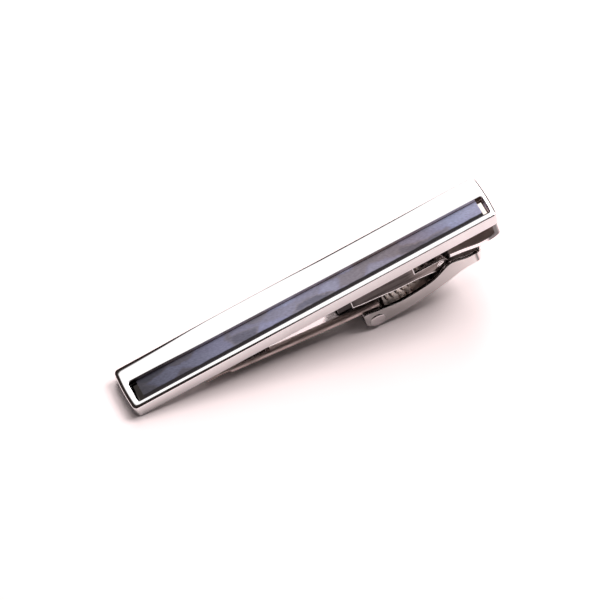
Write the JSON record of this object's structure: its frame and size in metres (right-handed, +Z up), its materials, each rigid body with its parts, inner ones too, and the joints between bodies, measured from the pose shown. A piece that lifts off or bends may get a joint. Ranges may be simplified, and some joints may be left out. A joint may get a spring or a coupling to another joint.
{
  "type": "tie clip",
  "caption": "Slim metal tie bar with a sunk blue-grey inlay; behind it a ridged jaw on a riveted thumb lever clamps cloth against the bar's back.",
  "frame": {"origin": "centre of the bounding box's underside, on the table that the clip lies on", "axes": "+X along the bar towards its hinge end, which is raised; +Y across the bar, away from the inlay's side; +Z up from the table"},
  "size_m": [0.057, 0.0074, 0.0171],
  "materials": {
    "polished_metal": "mirror polished plating",
    "hinge_metal": "polished plating",
    "spring_wire": "drawn wire",
    "inlay": "polished, with a soft shimmer"
  },
  "bodies": {
    "bar": {"front_bar": "polished_metal", "inlay_strip": "inlay", "hinge_bracket": "hinge_metal", "end_strip": "hinge_metal"},
    "lever": {"thumb_lever": "polished_metal", "fulcrum_pin": "polished_metal", "jaw_rivet": "polished_metal", "closing_spring": "spring_wire"},
    "jaw": {"jaw_arm": "hinge_metal"}
  },
  "joints": [
    {"name": "lever_press", "type": "hinge", "parent": "bar", "child": "lever", "pos_m": [0.01969, 0, 0.00853], "axis": [0, -1, 0], "range_deg": [0, 14], "stiffness_Nm_per_rad": 0.05, "springref_deg": -11.46, "deforming": ["closing_spring"]},
    {"name": "jaw_tilt", "type": "hinge", "parent": "lever", "child": "jaw", "pos_m": [0.00958, 0, 0.0018], "axis": [0, -1, 0], "range_deg": [0, 6], "stiffness_Nm_per_rad": 0.02, "springref_deg": -8.59, "deforming": ["closing_spring"]}
  ]
}
